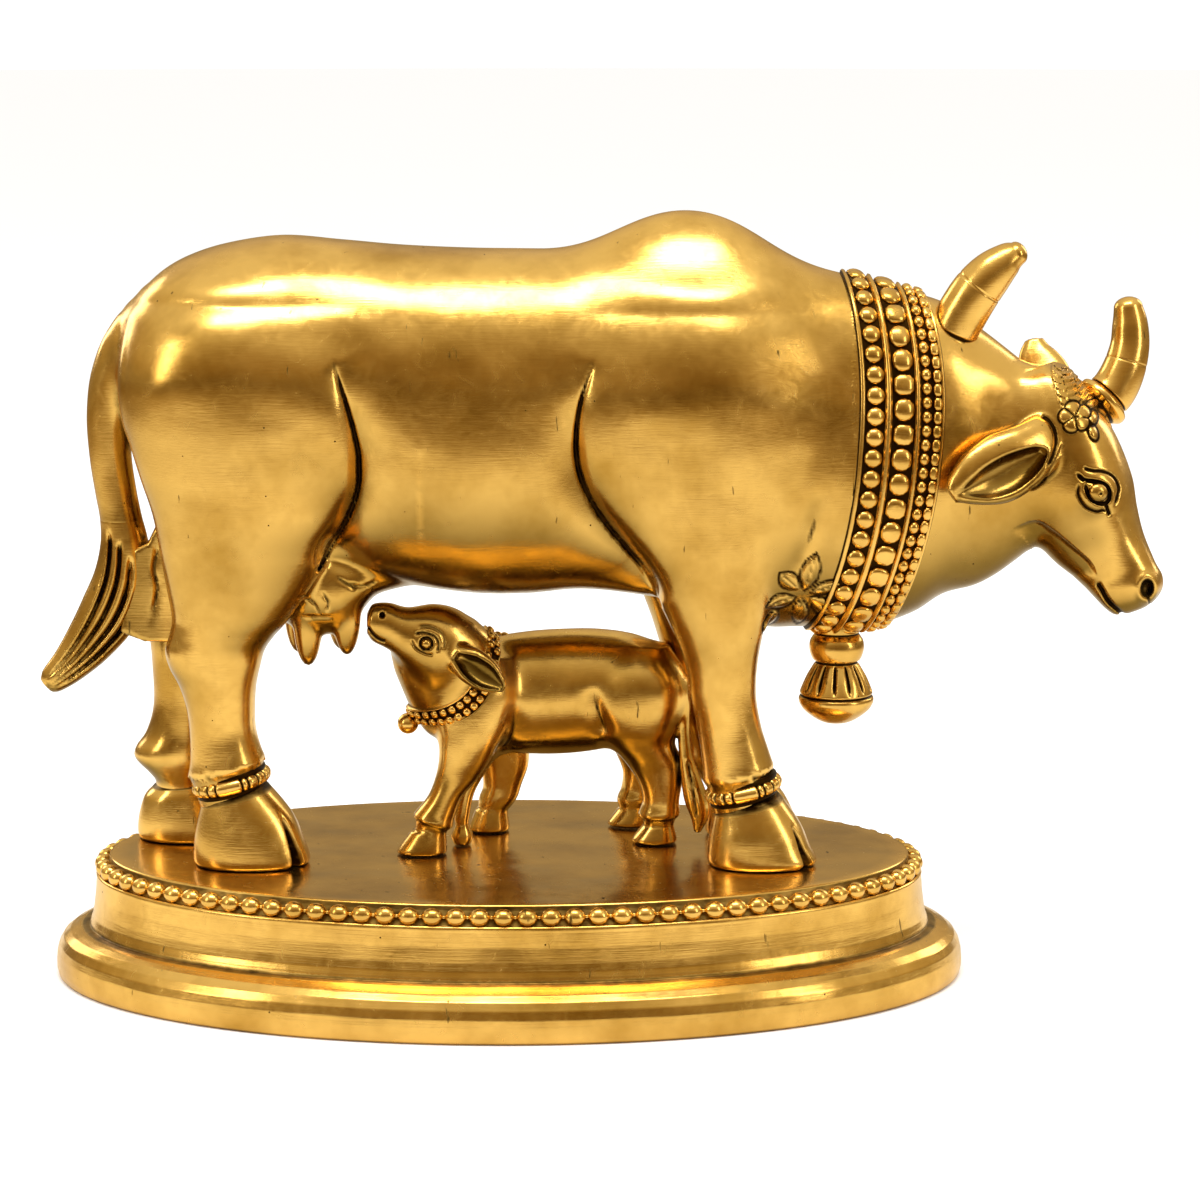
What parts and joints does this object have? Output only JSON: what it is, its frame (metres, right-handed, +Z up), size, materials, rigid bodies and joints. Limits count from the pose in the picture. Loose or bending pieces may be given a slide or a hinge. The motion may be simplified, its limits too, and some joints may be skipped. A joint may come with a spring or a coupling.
{
  "type": "cow statue",
  "caption": "Brass statue of a hump-backed cow with a beaded collar and bell, her calf reaching for the udder, on a stepped oval plinth edged with beads.",
  "frame": {"origin": "centre of the plinth's flat underside", "axes": "+X the way the cow walks, +Y away from the side the picture shows, +Z up"},
  "size_m": [0.303, 0.151, 0.2081],
  "materials": {
    "plinth_brass": "brushed lengthwise and lacquered, dark wax left round the beads and in the step",
    "cow_brass": "polished and satin brushed, dark wax left in the carving, with small casting pits",
    "calf_brass": "polished, dark wax left in the carving, with small casting pits"
  },
  "bodies": {
    "root": {"base": "plinth_brass", "cow": "cow_brass", "calf": "calf_brass"}
  },
  "joints": []
}
